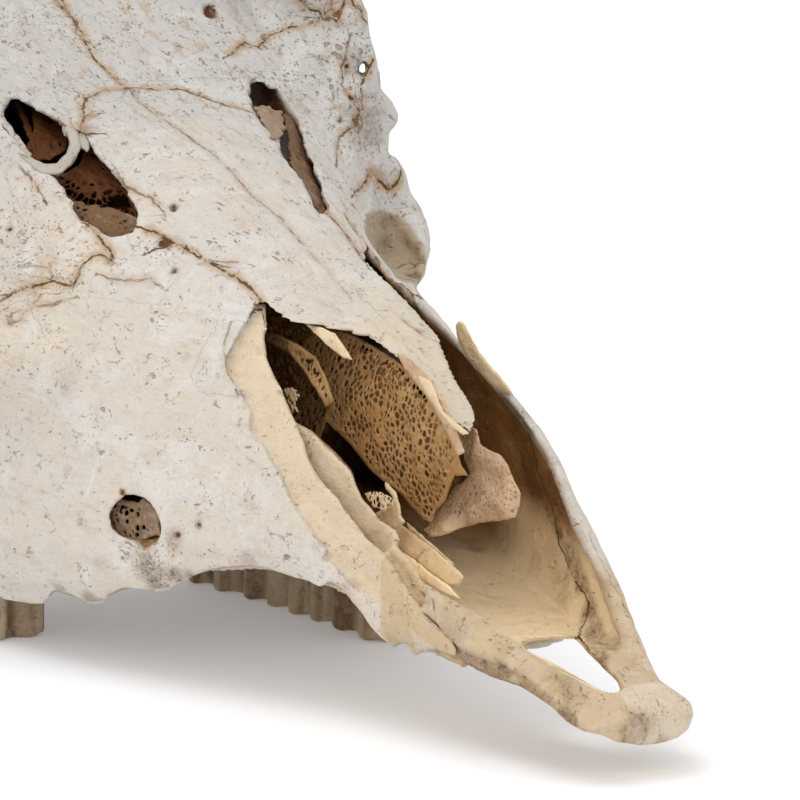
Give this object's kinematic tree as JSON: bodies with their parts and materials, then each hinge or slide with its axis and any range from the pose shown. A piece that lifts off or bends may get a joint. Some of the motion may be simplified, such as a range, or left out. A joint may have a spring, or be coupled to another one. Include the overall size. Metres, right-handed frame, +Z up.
{
  "type": "reedbuck skull",
  "caption": "Life-size antelope skull without lower jaw, with ringed horns curving forward, open nose and cheek teeth, resting on its cheek teeth and two bony processes.",
  "frame": {"origin": "on the floor under the middle of the box round the whole skull", "axes": "+Z up, nose towards -Y, the animal's left side towards +X"},
  "size_m": [0.148, 0.2618, 0.2871],
  "materials": {
    "bone": "dry weathered bone, matt",
    "inner_bone": "stained porous bone, matt",
    "horn": "dark ringed horn, satin"
  },
  "bodies": {
    "root": {"frontal_left": "bone", "frontal_right": "bone", "horn_left": "horn", "horn_right": "horn", "lacrimal_left": "bone", "lacrimal_right": "bone", "maxilla_left": "bone", "maxilla_right": "bone", "nasal_left": "bone", "nasal_right": "bone", "occipital": "bone", "parietal": "bone", "premaxilla_left": "bone", "premaxilla_right": "bone", "skull_base": "bone", "temporal_left": "bone", "temporal_right": "bone", "turbinate_left": "inner_bone", "turbinate_right": "inner_bone", "vomer": "inner_bone", "zygomatic_left": "bone", "zygomatic_right": "bone"}
  },
  "joints": []
}
